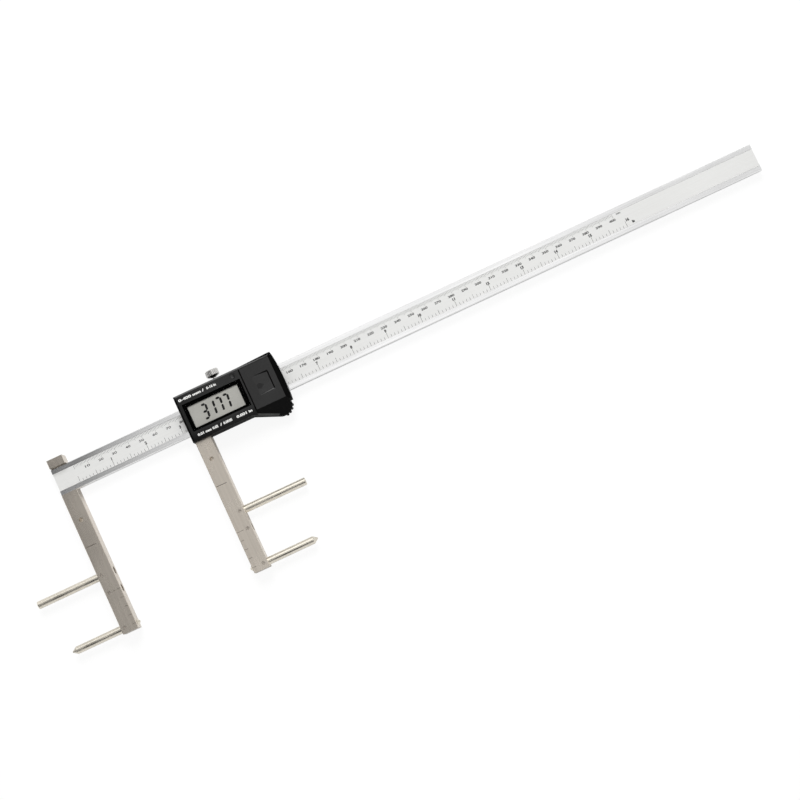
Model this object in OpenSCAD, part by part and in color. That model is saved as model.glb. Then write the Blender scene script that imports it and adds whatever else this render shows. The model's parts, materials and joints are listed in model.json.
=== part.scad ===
// Digital brake drum gauge: a long beam caliper with two square arms and outward pins.
// The gauge lies on its back: +X runs along the beam, +Y towards the lock screw, +Z to the viewer.
// The origin is on the back of the fixed jaw, where the beam's centreline crosses it.

/* [Beam] */
// Length of the beam
beam_len = 520; // [440:5:700]
// Width of the beam
beam_w = 19.4; // [17.4:0.1:22]
// Thickness of the beam
beam_t = 4; // [3.6:0.1:5]
// How far the beam stands out past the fixed jaw
beam_tail = 0.45; // [0:0.05:2]
// Chamfer along the beam's front edges
beam_chamfer = 0.5; // [0.2:0.1:0.8]
// Width of the printed scale label
label_w = 12.4; // [10:0.1:14]
// Thickness of the scale label
label_t = 0.2; // [0.1:0.05:0.3]
// Thickness of the capacitive scale strip under the label
strip_t = 0.5; // [0.3:0.1:0.8]
// Depth of the label's face below the beam's face
label_drop = 0.1; // [0.05:0.05:0.3]

/* [Arms] */
// Width of each arm's square bar
arm_w = 11.3; // [10:0.1:14]
// Depth of each arm's bar
arm_depth = 12.7; // [12:0.1:14]
// Metal of the bar behind the beam
arm_web = 4.35; // [4:0.05:5]
// Height of the bar's upper end above the beam's centreline
arm_top = 15.6; // [15:0.1:16.4]
// Distance from the beam's centreline down to the bar's lower end
arm_reach = 111.5; // [105:0.5:140]
// Chamfer along the bar's long edges
arm_chamfer = 0.35; // [0.1:0.05:0.8]
// Gap between the two arms when the gauge reads zero
closed_gap = 4.2; // [4.2:0.1:8]
// Reading of the scale at rest
reading = 80.7; // [10:0.1:400]

/* [Pins] */
// Diameter of the pins
pin_d = 5.3; // [4.5:0.1:6]
// Radial clearance of a pin in its hole
pin_gap = 0.05; // [0.02:0.01:0.1]
// Distance of the pointed pins from the lower end of the bar
point_inset = 3.8; // [3.6:0.1:8]
// Spacing from the pointed pin's hole up to the spare hole
point_pitch = 25.4; // [10:0.1:25.4]
// Spacing from the spare hole up to the long pin's hole
spare_pitch = 12.7; // [9:0.1:16]
// Free length of a long pin
long_pin_out = 45; // [20:0.5:60]
// Length of a long pin inside its arm
long_pin_in = 6.5; // [6:0.1:9]
// Free length of a pointed pin, with its point
point_pin_out = 36.4; // [20:0.2:60]
// Length of a pointed pin's tail on the other side of its arm
tail_out = 1.9; // [1:0.1:2]
// Length of the point
point_len = 3.2; // [1:0.1:5]
// Diameter of the flat at the end of a point
point_flat = 0.8; // [0.4:0.1:2]
// Chamfer at a long pin's free end
pin_chamfer = 0.4; // [0.1:0.1:1]

/* [Arm screws] */
// Diameter of the grub screws that hold the pins
grub_d = 2.4; // [2:0.1:3]
// Distance of a grub screw from the side of the arm where the pin leaves
grub_inset = 3; // [2.5:0.1:4]
// Depth of a grub screw's face below the arm's face
grub_drop = 0.4; // [0.2:0.1:0.5]
// Diameter of the accessory hole in the arm's face
front_hole_d = 3; // [2:0.1:4]
// Depth of the accessory hole
front_hole_depth = 6; // [3:0.5:8]
// Distance of the accessory hole below the beam's centreline
front_hole_y = 30.1; // [26:0.1:50]
// Diameter of the screws that hold the jaws
jaw_screw_d = 2.5; // [2:0.1:3]
// Spacing of the fixed jaw's two screws along the bar
jaw_screw_pitch = 11; // [9:0.5:12]

/* [Slider frame] */
// Running gap between the slider and the beam
slide_gap = 0.05; // [0.02:0.01:0.1]
// Thickness of the gib strip
gib_t = 1.7; // [1:0.1:2]
// Gap behind the gib strip
gib_gap = 0.1; // [0.05:0.05:0.2]
// Thickness of the frame's rail below the beam
low_rail_t = 4; // [3.5:0.05:4.5]
// Thickness of the frame's rail above the gib
top_rail_t = 4.3; // [4.2:0.1:5]
// Thickness of the frame's front lips
lip_t = 1.2; // [0.8:0.1:2]
// How far the lips reach over the beam's face
lip_over = 1.5; // [0.8:0.1:2]
// Distance of the lock screw from the sliding jaw's outer side
lock_x = 29.2; // [28.5:0.1:34]
// Diameter of the lock screw's thread
lock_d = 3; // [2.4:0.1:3.6]
// Diameter of the lock screw's neck
neck_d = 2.2; // [1.6:0.1:2.3]
// Diameter of the lock screw's knob
knob_d = 9.2; // [7:0.1:12]
// Height of the lock screw's knob
knob_h = 4.1; // [3:0.1:7]
// Gap between the housing and the underside of the knob
knob_lift = 3.6; // [3:0.1:6]

/* [Display housing] */
// Thickness of the housing's side walls
wall_t = 1.8; // [1.6:0.05:2]
// Thickness of the housing's front wall
front_t = 1.8; // [1.6:0.1:2.2]
// Gap between the housing and the frame inside it
cavity_gap = 0.15; // [0.1:0.05:0.3]
// How far the housing stands out past the sliding jaw
left_skin = 0.8; // [0.6:0.1:1.2]
// Height of the housing's back rim
rim_z = 2; // [1:0.1:3]
// Distance from the sliding jaw's outer side to the display opening
display_x = 2.55; // [2:0.05:4]
// Width of the display opening
display_w = 42.65; // [42:0.05:50]
// Height of the display opening
display_h = 19.6; // [18.6:0.1:20]
// Height of the display opening's centre above the beam's centreline
display_y = 0.6; // [0.3:0.1:0.7]
// Wall between the display opening and the battery bay
divider_t = 1.1; // [0.8:0.1:2]
// Chamfer along the housing's upper front edge
top_chamfer = 1.2; // [0.5:0.1:1.6]
// Chamfer along the housing's left front edge
left_chamfer = 1.4; // [0.5:0.1:1.6]
// How far the housing's upper edge climbs beside the battery bay
bay_rise = 0.7; // [0:0.1:1]
// Length of the housing's end wall past the battery cover
end_len = 3.7; // [2.4:0.1:4]
// Radius of the wide arc of the end wall
end_radius = 130; // [120:5:240]
// Height of the end wall's furthest point above the beam's centreline
end_y = -1; // [-3:0.5:3]
// Slope of the end wall's bevel from the vertical
end_slope = 48; // [40:1:60]

/* [Thumb rest] */
// How far the thumb rest starts before the battery bay
thumb_lead = 3.7; // [0.5:0.1:6]
// Radius of the thumb rest's round end
thumb_r = 7.8; // [6.5:0.1:9]
// Distance of the round end's centre from the housing's end
thumb_inset = 10; // [8.8:0.1:12]
// Number of grip ribs
rib_count = 4; // [3:1:5]
// Radius of a grip rib
rib_r = 1; // [0.6:0.1:1.2]
// Angle from rib to rib
rib_step = 18; // [15:1:19]
// Angle of the lowest rib below the beam's direction
rib_start = 76.5; // [70:0.5:85]
// Slope of the thumb rest's face
thumb_slope = 42; // [35:1:48]
// Width of the steep facet along the thumb rest's straight side
facet_in = 1.3; // [0.6:0.1:2]
// Slope of that facet
facet_slope = 66; // [55:1:75]
// Depth of the hollow behind the thumb rest
thumb_hollow = 5; // [1:0.5:5]

/* [Display] */
// Width of the display's viewing area
view_w = 36.5; // [34:0.1:38]
// Height of the display's viewing area
view_h = 15.2; // [13:0.1:16]
// Offset of the viewing area's left edge from the display opening
view_inset = 2.7; // [2:0.1:2.8]
// Thickness of the display glass
lcd_t = 1.6; // [1.1:0.1:2]
// Thickness of the black mask over the display's edges
mask_t = 0.7; // [0.5:0.1:1]
// Thickness of the window
window_t = 0.8; // [0.5:0.1:1]
// Depth of the window below the housing's face
window_drop = 0.4; // [0.2:0.1:0.5]
// Height of the rubber connector
connector_h = 4.4; // [4.2:0.1:6]
// Thickness of the circuit board
board_t = 1; // [0.8:0.1:1.2]
// Thickness of the sensor board
sensor_t = 0.85; // [0.6:0.05:0.85]

/* [Battery bay] */
// Length of the battery cover along the beam
cover_len = 21.2; // [21.2:0.1:26]
// Thickness of the battery cover
cover_t = 1.5; // [1.3:0.1:1.7]
// Width of the groove at the cover's left edge
groove_w = 0.9; // [0.5:0.1:1.5]
// Side clearance of the battery cover
cover_gap = 0.15; // [0.1:0.05:0.2]
// How far the cover's tongues stand out
tongue_out = 0.55; // [0.4:0.05:0.6]
// Thickness of the cover's tongues
tongue_t = 0.5; // [0.4:0.05:0.6]
// Length of the thumb recess at the cover's face
recess_len = 11.2; // [6:0.1:14]
// Height of the thumb recess at the cover's face
recess_h = 13.8; // [8:0.1:18]
// Depth of the thumb recess at its deep end
recess_depth = 0.9; // [0.5:0.1:1]
// Distance of the recess's deep end from the cover's end
recess_inset = 3.9; // [3:0.1:8]
// Diameter of the button cell
cell_d = 20; // [16:0.1:20]
// Thickness of the button cell
cell_t = 3.2; // [2.4:0.1:3.2]
// Thickness of the battery contacts
contact_t = 0.3; // [0.2:0.05:0.4]

/* [Button] */
// Distance of the button from the right end of the display opening
button_inset = 3.7; // [3.2:0.1:5]
// Height of the button above the beam's centreline
button_y = 13.7; // [13.6:0.1:13.8]
// Diameter of the button
button_d = 3.1; // [2:0.1:3.4]
// Travel of the button
button_travel = 0.5; // [0.2:0.05:0.6]
// Diameter of the shallow recess round the button
button_recess_d = 4.6; // [4.2:0.1:4.8]
// Depth of the shallow recess round the button
button_recess = 0.4; // [0.2:0.1:0.6]

/* [Hidden] */
$fn = 64;
eps = 0.01;
far = 60;

// Clearances: a thread, a shank and a head on their diameters, and the room past a screw's end
thread_gap = 0.1;
shank_gap = 0.2;
head_gap = 0.2;
tip_gap = 0.2;

// Heights above the gauge's back
beam_z = arm_web;
beam_face = beam_z + beam_t;
pin_z = arm_depth / 2;
frame_face = beam_face + slide_gap + lip_t;
board_face = frame_face + board_t;
lcd_z = board_face + connector_h;
mask_z = lcd_z + lcd_t;
window_z = mask_z + mask_t;
slider_front = window_z + window_t + window_drop;
ceiling_z = slider_front - front_t;
cover_z = slider_front - cover_t;

// Places along the beam
slider_x = arm_w / 2 + closed_gap + reading;
sliding_x = slider_x + arm_w / 2;
display_end = display_x + display_w;
button_x = display_end - button_inset;
bay_x = display_end + divider_t;
cover_x = bay_x + groove_w;
cover_end = cover_x + cover_len;
frame_inset = 0.4;
frame_end = cover_end - frame_inset;
housing_end = cover_end + end_len;

// Places across the beam
slot_w = beam_w + 2 * slide_gap;
frame_low = -slot_w / 2 - low_rail_t;
gib_y = slot_w / 2;
rail_y = gib_y + gib_t + gib_gap;
frame_top = rail_y + top_rail_t;
cavity_low = frame_low - cavity_gap;
cavity_top = max(frame_top, arm_top) + cavity_gap;
housing_low = cavity_low - wall_t;
housing_top = cavity_top + wall_t;
lip_y = beam_w / 2 - lip_over;
low_rail_mid = -slot_w / 2 - low_rail_t / 2;
top_rail_mid = rail_y + top_rail_t / 2;

// Levels of the three cross holes of each arm
point_y = arm_reach - point_inset;
spare_y = point_y - point_pitch;
long_pin_y = spare_y - spare_pitch;
hole_d = pin_d + 2 * pin_gap;
HOLE_LEVELS = [-long_pin_y, -spare_y, -point_y];

// A box from its low corner to its high corner
module block(low, high) {
  translate(low) cube(high - low);
}

// A cylinder along +X
module x_rod(d, len) {
  rotate([0, 90, 0]) cylinder(d = d, h = len);
}

// A cylinder along +Y
module y_rod(d, len) {
  rotate([-90, 0, 0]) cylinder(d = d, h = len);
}

// A cheese-head screw with its head's seat at z = 0 and its shank along +Z
module screw(d, len, head_d, head_h) {
  difference() {
    union() {
      cylinder(d = d, h = len);
      translate([0, 0, -head_h]) cylinder(d = head_d, h = head_h);
    }
    translate([0, 0, -head_h - eps]) cylinder(d = d * 0.7, h = head_h * 0.6, $fn = 6);
  }
}

// A grub screw along +Z with a hexagon socket in its far end
module grub(d, len) {
  difference() {
    cylinder(d = d, h = len);
    translate([0, 0, len - d * 0.5]) cylinder(d = d * 0.6, h = d * 0.5 + eps, $fn = 6);
  }
}

module at_slider() {
  translate([slider_x, 0, 0]) children();
}

// Beam

label_gap = 0.05;
label_inset = 0.1;
label_slot = label_w + 2 * label_gap;
groove_depth = strip_t + label_t + label_drop;
strip_z = beam_face - groove_depth;
JAW_SCREW_Y = [-jaw_screw_pitch / 2, jaw_screw_pitch / 2];
jaw_screw_head = 1.8;
jaw_screw_cover = 0.6;
jaw_screw_bite = strip_z - beam_z - jaw_screw_cover;

module beam_section() {
  half = beam_w / 2;
  polygon([
    [-half, 0], [half, 0],
    [half, beam_t - beam_chamfer], [half - beam_chamfer, beam_t],
    [label_slot / 2, beam_t], [label_slot / 2, beam_t - groove_depth],
    [-label_slot / 2, beam_t - groove_depth], [-label_slot / 2, beam_t],
    [beam_chamfer - half, beam_t], [-half, beam_t - beam_chamfer]
  ]);
}

beam_x = -arm_w / 2 - beam_tail;

module beam() {
  color("gainsboro")
  difference() {
    translate([beam_x, 0, beam_z]) rotate([90, 0, 90]) linear_extrude(beam_len) beam_section();
    for (y = JAW_SCREW_Y)
      translate([0, y, beam_z - eps]) cylinder(d = jaw_screw_d + thread_gap, h = jaw_screw_bite + tip_gap);
  }
}

// A strip that fills the groove of the beam from one height to another
module groove_layer(low, high) {
  block([beam_x + label_inset, -label_w / 2, low], [beam_x + beam_len - label_inset, label_w / 2, high]);
}

module scale_strip() { color("seagreen") groove_layer(strip_z, strip_z + strip_t); }
module scale_label() { color("whitesmoke") groove_layer(strip_z + strip_t, strip_z + strip_t + label_t); }

// Arms

module bar_section() {
  half = arm_w / 2;
  c = arm_chamfer;
  polygon([
    [c - half, 0], [half - c, 0], [half, c], [half, arm_depth - c],
    [half - c, arm_depth], [c - half, arm_depth], [-half, arm_depth - c], [-half, c]
  ]);
}

// An arm centred on x = 0, with its pins leaving towards +X and a trough that takes the beam
module arm(trough_w, trough_z) {
  difference() {
    translate([0, arm_top, 0]) rotate([90, 0, 0]) linear_extrude(arm_top + arm_reach) bar_section();
    block([-arm_w, -trough_w / 2, trough_z], [arm_w, trough_w / 2, arm_depth + 1]);
    for (y = HOLE_LEVELS) {
      translate([-arm_w, y, pin_z]) x_rod(hole_d, 2 * arm_w);
      translate([arm_w / 2 - grub_inset, y, pin_z]) cylinder(d = grub_d + thread_gap, h = arm_depth);
    }
    translate([0, -front_hole_y, arm_depth - front_hole_depth])
      cylinder(d = front_hole_d, h = front_hole_depth + 1);
  }
}

// The fixed jaw's trough fits the beam closely
trough_fit = 0.03;
jaw_head_d = 2 * jaw_screw_d - 0.4;

module fixed_jaw() {
  color("darkgray")
  difference() {
    mirror([1, 0, 0]) arm(beam_w + 2 * trough_fit, beam_z);
    for (y = JAW_SCREW_Y) translate([0, y, -eps]) {
      cylinder(d = jaw_screw_d + shank_gap, h = beam_z + 1);
      cylinder(d = jaw_head_d + 2 * head_gap, h = jaw_screw_head + head_gap);
    }
  }
}

module fixed_jaw_screws() {
  seat = jaw_screw_head + head_gap - eps;
  color("dimgray")
  for (y = JAW_SCREW_Y)
    translate([0, y, seat])
      screw(jaw_screw_d, beam_z + jaw_screw_bite - seat, jaw_head_d, jaw_screw_head);
}

// A flat-ended pin that leaves its arm towards +X
module long_pin() {
  total = long_pin_in + long_pin_out;
  r = pin_d / 2;
  translate([arm_w / 2 - long_pin_in, -long_pin_y, pin_z]) rotate([0, 90, 0]) rotate_extrude()
    polygon([[0, 0], [r, 0], [r, total - pin_chamfer], [r - pin_chamfer, total], [0, total]]);
}

// A pin with a point towards +X and a short pointed tail towards -X
module pointed_pin() {
  total = tail_out + arm_w + point_pin_out;
  r = pin_d / 2;
  f = point_flat / 2;
  translate([-arm_w / 2 - tail_out, -point_y, pin_z]) rotate([0, 90, 0]) rotate_extrude()
    polygon([[0, 0], [f, 0], [r, tail_out], [r, total - point_len], [f, total], [0, total]]);
}

// The three grub screws of an arm: two press on the pins and the spare one waits clear of its hole
grub_touch = 0.02;
grub_clear = 0.3;

module arm_grubs() {
  top = arm_depth - grub_drop;
  for (y = HOLE_LEVELS) {
    foot = pin_z + (y == -spare_y ? hole_d / 2 + grub_clear : pin_d / 2 + grub_touch);
    translate([arm_w / 2 - grub_inset, y, foot]) grub(grub_d, top - foot);
  }
}

module fixed_long_pin() { color("tan") mirror([1, 0, 0]) long_pin(); }
module fixed_pointed_pin() { color("tan") mirror([1, 0, 0]) pointed_pin(); }
module fixed_arm_set_screws() { color("dimgray") mirror([1, 0, 0]) arm_grubs(); }

// The two screws that hold the sliding jaw lie along the beam, above and below it
SIDE_SCREW_Y = [low_rail_mid, top_rail_mid];
side_head_d = 3.2;
side_head_h = 1.6;
side_bite = 5.8;

module sliding_jaw() {
  color("silver")
  translate([sliding_x, 0, 0])
  difference() {
    arm(slot_w, beam_z - slide_gap);
    for (y = SIDE_SCREW_Y) translate([-arm_w / 2 - eps, y, pin_z]) {
      x_rod(jaw_screw_d + shank_gap, arm_w + 1);
      x_rod(side_head_d + head_gap, side_head_h + head_gap);
    }
  }
}

module sliding_jaw_screws() {
  seat = side_head_h + head_gap - eps;
  color("dimgray")
  at_slider()
  for (y = SIDE_SCREW_Y)
    translate([seat, y, pin_z]) rotate([0, 90, 0])
      screw(jaw_screw_d, arm_w - seat + side_bite, side_head_d, side_head_h);
}

module sliding_long_pin() { color("tan") translate([sliding_x, 0, 0]) long_pin(); }
module sliding_pointed_pin() { color("tan") translate([sliding_x, 0, 0]) pointed_pin(); }
module sliding_arm_set_screws() { color("dimgray") translate([sliding_x, 0, 0]) arm_grubs(); }

// Slider frame

// Places of the frame's screws: after the jaw, before the lock screw or the button, and before the end
gib_screw_d = 2.5;
gib_screw_lead = 4.5;
gib_screw_inset = 10.4;
GIB_SCREW_X = [lock_x - gib_screw_lead, frame_end - gib_screw_inset];
housing_screw_d = 2;
housing_head_d = 3.2;
housing_head_h = 1.3;
housing_screw_start = 9.2;
housing_screw_inset = 4.6;
HOUSING_SCREW_X = [arm_w + housing_screw_start, frame_end - housing_screw_inset];
board_screw_d = 1.6;
board_screw_bite = 1.7;
board_screw_start = 3.2;
board_screw_lead = 5.8;
BOARD_SCREW_X = [arm_w + board_screw_start, button_x - board_screw_lead];
RAIL_MIDS = [low_rail_mid, top_rail_mid];
rail_screw_z = pin_z;
gib_inset = 1.5;
gib_x = arm_w + gib_inset;
gib_end = frame_end - gib_inset;

module slider_frame() {
  color("silver")
  at_slider()
  difference() {
    block([arm_w, frame_low, 0], [frame_end, frame_top, frame_face]);
    block([0, -slot_w / 2, beam_z - slide_gap], [far * 2, rail_y, beam_face + slide_gap]);
    block([0, -lip_y, beam_face], [far * 2, lip_y, frame_face + 1]);
    for (y = SIDE_SCREW_Y)
      translate([arm_w - eps, y, rail_screw_z]) x_rod(jaw_screw_d + thread_gap, side_bite + tip_gap);
    for (x = GIB_SCREW_X)
      translate([x, rail_y - 1, rail_screw_z]) y_rod(gib_screw_d + thread_gap, top_rail_t + 2);
    translate([lock_x, rail_y - 1, rail_screw_z]) y_rod(lock_d + thread_gap, top_rail_t + 2);
    for (x = HOUSING_SCREW_X, y = RAIL_MIDS) translate([x, y, -eps]) {
      cylinder(d = housing_screw_d + thread_gap, h = frame_face + 1);
      cylinder(d = housing_head_d + head_gap, h = housing_head_h + head_gap);
    }
    for (x = BOARD_SCREW_X, y = RAIL_MIDS)
      translate([x, y, frame_face - board_screw_bite - tip_gap])
        cylinder(d = board_screw_d + thread_gap, h = far);
  }
}

module gib_strip() {
  color("peru")
  at_slider()
  block([gib_x, gib_y, beam_z - slide_gap], [gib_end, gib_y + gib_t, beam_face]);
}

module gib_screws() {
  color("dimgray")
  at_slider()
  for (x = GIB_SCREW_X)
    translate([x, gib_y + gib_t + grub_touch, rail_screw_z]) rotate([-90, 0, 0])
      grub(gib_screw_d, top_rail_t + gib_gap - grub_drop);
}

// The lock screw's profile runs from its tip, just off the gib, outwards along +Y
lock_tip_gap = 0.1;
shoulder_gap = 0.2;
flutes = 24;
flute_r = 0.35;

module lock_screw() {
  tip = gib_y + gib_t + lock_tip_gap;
  shoulder = frame_top + shoulder_gap - tip;
  knob = housing_top + knob_lift - tip;
  t = lock_d / 2;
  n = neck_d / 2;
  k = knob_d / 2;
  color("lightgray")
  translate([slider_x + lock_x, tip, rail_screw_z]) rotate([-90, 0, 0])
  difference() {
    rotate_extrude() polygon([
      [0, 0], [t - 0.3, 0], [t, 0.3], [t, shoulder], [n, shoulder + 0.4],
      [n, knob - 1.4], [2 * n, knob - 0.9], [k - 0.7, knob - 0.3], [k, knob + 0.2],
      [k, knob + knob_h - 0.5], [k - 0.5, knob + knob_h], [0, knob + knob_h]
    ]);
    for (i = [0 : flutes - 1])
      rotate([0, 0, i * 360 / flutes]) translate([k + flute_r / 3, 0, knob - 1])
        cylinder(r = flute_r, h = knob_h + 2, $fn = 16);
  }
}

// Display housing

board_gap = 0.4;
cell_headroom = 0.4;
bay_floor = board_face + board_gap;
cell_z = cover_z - cell_headroom - cell_t;
cell_x = (cover_x + cover_end) / 2;
cell_y = (housing_low + housing_top) / 2;
cell_gap = 0.3;
jaw_gap = 0.05;
bay_wall = 0.3;
rim_low = 2.05;
rim_top = 1.85;
cover_low = housing_low + rim_low;
cover_top = housing_top - rim_top;
boss_d = 3.6;
housing_bite = 1.1;
side_merge = 0.05;
thumb_x = bay_x - thumb_lead;
thumb_cx = housing_end - thumb_inset;
thumb_side_r = thumb_r - side_merge;
thumb_angle = asin(thumb_side_r / (thumb_cx - thumb_x));
slope_gap = 0.1;
slope_y = cover_low - slope_gap;
access_gap = 0.6;
passage_gap = 0.4;
tongue_gap = 0.1;
cover_seat = 0.05;
button_gap = 0.15;
pocket_wall = 1.8;
display_low = display_y - display_h / 2;
display_top = display_y + display_h / 2;

// The end wall bulges as a wide arc whose high point is housing_end
module end_arc() {
  translate([housing_end - end_radius, end_y]) circle(r = end_radius, $fn = 360);
}

// The thumb rest is a disc with a straight side that runs back to the housing, and ribs round its end
module thumb_outline() {
  translate([thumb_cx, housing_low]) {
    circle(r = thumb_r);
    for (i = [0 : rib_count - 1])
      rotate(i * rib_step - rib_start) translate([thumb_r, 0]) circle(r = rib_r, $fn = 24);
  }
  polygon([
    [thumb_x, housing_low + 1], [thumb_x, housing_low],
    [thumb_cx - thumb_side_r * sin(thumb_angle), housing_low - thumb_side_r * cos(thumb_angle)],
    [thumb_cx, housing_low + 1]
  ]);
}

module housing_outline() {
  intersection() {
    polygon([
      [-left_skin, housing_low], [housing_end, housing_low],
      [housing_end, housing_top + bay_rise], [bay_x, housing_top], [-left_skin, housing_top]
    ]);
    end_arc();
  }
  thumb_outline();
}

// Space inside the housing for the frame, the boards and the display
module housing_cavity() {
  block([-jaw_gap, cavity_low, -1], [bay_x - bay_wall, cavity_top, ceiling_z]);
  block([bay_x - 1, cavity_low, -1], [frame_end + cavity_gap, cavity_top, bay_floor]);
}

// Cuts for the beam, which passes through both end walls, and for the sliding jaw
module housing_passages() {
  half = beam_w / 2 + passage_gap;
  block([-far, -half, -1], [2 * far, half, beam_face + passage_gap]);
  block([-jaw_gap, housing_low - 1, -1], [arm_w + 2 * jaw_gap, cavity_low + 1, arm_depth + 2 * jaw_gap]);
}

// The battery bay: the slot of the sliding cover, its grooves, the cell's pocket and the contact slots
module battery_bay() {
  low = cover_low - cover_gap;
  top = cover_top + cover_gap;
  reach = tongue_out + tongue_gap;
  block([bay_x, low, cover_z - cover_seat], [bay_x + far, top, slider_front + 1]);
  block([cover_x - cover_gap, cover_low - reach, cover_z - cover_seat],
        [bay_x + far, cover_top + reach, cover_z + tongue_t + tongue_gap]);
  translate([cell_x, cell_y, cell_z]) cylinder(d = cell_d + 2 * cell_gap, h = far);
  contact_slots();
}

// A steep facet along the straight side of the thumb rest, where it meets the sloping face
module thumb_facet() {
  y = housing_low + facet_in * cos(thumb_angle);
  fall = atan(sin(thumb_angle) * tan(thumb_slope));
  translate([thumb_x + facet_in * sin(thumb_angle), y, slider_front - (slope_y - y) * tan(thumb_slope)])
    rotate([0, 0, -thumb_angle]) rotate([0, fall, 0]) rotate([facet_slope, 0, 0])
      translate([0, -far, 0]) cube([thumb_cx - thumb_x, far, far]);
}

// Slopes and chamfers of the moulding's front
module housing_slopes() {
  translate([bay_x, slope_y, slider_front]) rotate([thumb_slope, 0, 0])
    translate([0, -far, 0]) cube([far, far, far]);
  thumb_facet();
  translate([cover_end + slope_gap, -far, slider_front]) rotate([0, -end_slope, 0])
    translate([0, 0, -far]) cube([far, 2 * far, 2 * far]);
  translate([-far, housing_top, slider_front - top_chamfer]) rotate([45, 0, 0]) cube([4 * far, far, far]);
  translate([-left_skin, -far, slider_front - left_chamfer]) rotate([0, -45, 0]) cube([far, 2 * far, far]);
}

module display_housing() {
  color([0.16, 0.16, 0.17])
  at_slider()
  difference() {
    union() {
      difference() {
        translate([0, 0, rim_z]) linear_extrude(slider_front - rim_z) housing_outline();
        housing_cavity();
      }
      for (x = HOUSING_SCREW_X, y = RAIL_MIDS)
        translate([x, y, frame_face])
          cylinder(d = boss_d, h = (x < bay_x ? ceiling_z : bay_floor) - frame_face + eps);
    }
    housing_passages();
    battery_bay();
    housing_slopes();
    block([display_x, display_low, ceiling_z - 1], [display_end, display_top, slider_front + 1]);
    for (x = HOUSING_SCREW_X, y = RAIL_MIDS)
      translate([x, y, frame_face - eps])
        cylinder(d = housing_screw_d + thread_gap, h = housing_bite + tip_gap);
    for (x = GIB_SCREW_X)
      translate([x, cavity_top - 1, rail_screw_z]) y_rod(gib_screw_d + access_gap, wall_t + 3);
    translate([lock_x, cavity_top - 1, rail_screw_z]) y_rod(lock_d + access_gap, wall_t + 3);
    translate([button_x, button_y, ceiling_z - 1]) cylinder(d = button_d + 2 * button_gap, h = far);
    translate([button_x, button_y, slider_front - button_recess]) cylinder(d = button_recess_d, h = far);
    thumb_pocket();
  }
}

// The hollow behind the thumb rest, open at the back
module thumb_pocket() {
  translate([thumb_cx, housing_low, -1]) intersection() {
    cylinder(r = thumb_r - pocket_wall, h = rim_z + thumb_hollow + 1);
    translate([-far, -far, 0]) cube([2 * far, far, far]);
  }
}

module housing_screws() {
  seat = housing_head_h + head_gap - eps;
  color("dimgray")
  at_slider()
  for (x = HOUSING_SCREW_X, y = RAIL_MIDS)
    translate([x, y, seat])
      screw(housing_screw_d, frame_face + housing_bite - seat, housing_head_d, housing_head_h);
}

// Display

window_gap = 0.1;

module display_window() {
  g = window_gap;
  color([0.8, 0.85, 0.9, 0.35])
  at_slider()
  block([display_x + g, display_low + g, window_z], [display_end - g, display_top - g, window_z + window_t]);
}

holder_ledge = 0.45;
holder_side = 1;
holder_seat = 0.05;
holder_rim = 1.8;
holder_low = display_low - holder_ledge;
holder_top = display_top + holder_ledge;
lcd_gap = 0.1;
lcd_inset = 0.2;
lcd_side = 0.7;
lcd_low = display_low + lcd_inset;
lcd_top = display_top - lcd_inset;
lcd_x = display_x + lcd_side;
lcd_end = display_end - lcd_side;
view_drop = 0.3;
view_x = display_x + view_inset;
view_y = display_y - view_drop - view_h / 2;
leg_w = 3;
leg_start = 1.2;
HOLDER_LEG_X = [arm_w + leg_start, button_x - leg_w / 2];
connector_w = 2;
connector_side = 0.5;

module lcd_holder() {
  g = window_gap;
  flange = ceiling_z - holder_seat;
  color([0.05, 0.05, 0.05])
  at_slider()
  difference() {
    union() {
      block([display_x - holder_side, holder_low, lcd_z - holder_rim],
            [display_end + divider_t - bay_wall - lcd_gap, holder_top, flange]);
      block([display_x + g, display_low + g, flange - 1], [display_end - g, display_top - g, window_z]);
      for (x = HOLDER_LEG_X)
        block([x, holder_low, board_face], [x + leg_w, holder_top, lcd_z - 1]);
    }
    block([lcd_x - lcd_gap, lcd_low - lcd_gap, board_face - 1],
          [lcd_end + lcd_gap, lcd_top + lcd_gap, mask_z]);
    block([view_x, view_y, lcd_z], [view_x + view_w, view_y + view_h, window_z + 1]);
  }
}

module lcd_panel() {
  color([0.66, 0.67, 0.64])
  at_slider()
  block([lcd_x, lcd_low, lcd_z], [lcd_end, lcd_top, mask_z]);
}

module rubber_connector() {
  low = lcd_low + lcd_gap;
  color("pink")
  at_slider()
  block([HOLDER_LEG_X[0] + leg_w + connector_side, low, board_face],
        [HOLDER_LEG_X[1] - connector_side, low + connector_w, lcd_z]);
}

// Boards

board_start = 0.2;
board_inset = 2.4;
board_edge = 0.25;
board_x = arm_w + board_start;
board_end = frame_end - board_inset;
board_low = cavity_low + board_edge;
board_top = cavity_top - board_edge;
board_head_d = 2.6;
board_head_h = 0.8;
sensor_inset = 1;
sensor_edge = 0.1;

module circuit_board() {
  color("darkgreen")
  at_slider()
  difference() {
    block([board_x, board_low, frame_face], [board_end, board_top, board_face]);
    for (x = HOUSING_SCREW_X, y = RAIL_MIDS)
      translate([x, y, frame_face - 1]) cylinder(d = boss_d + 2 * shank_gap, h = board_t + 2);
    for (x = BOARD_SCREW_X, y = RAIL_MIDS)
      translate([x, y, frame_face - 1]) cylinder(d = board_screw_d + shank_gap, h = board_t + 2);
  }
}

module sensor_board() {
  color("seagreen")
  at_slider()
  block([board_x + sensor_inset, sensor_edge - lip_y, frame_face - sensor_t],
        [board_end - sensor_inset, lip_y - sensor_edge, frame_face]);
}

module board_screws() {
  color("silver")
  at_slider()
  for (x = BOARD_SCREW_X, y = RAIL_MIDS)
    translate([x, y, board_face]) mirror([0, 0, 1])
      screw(board_screw_d, board_t + board_screw_bite, board_head_d, board_head_h);
}

// Battery

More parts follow.
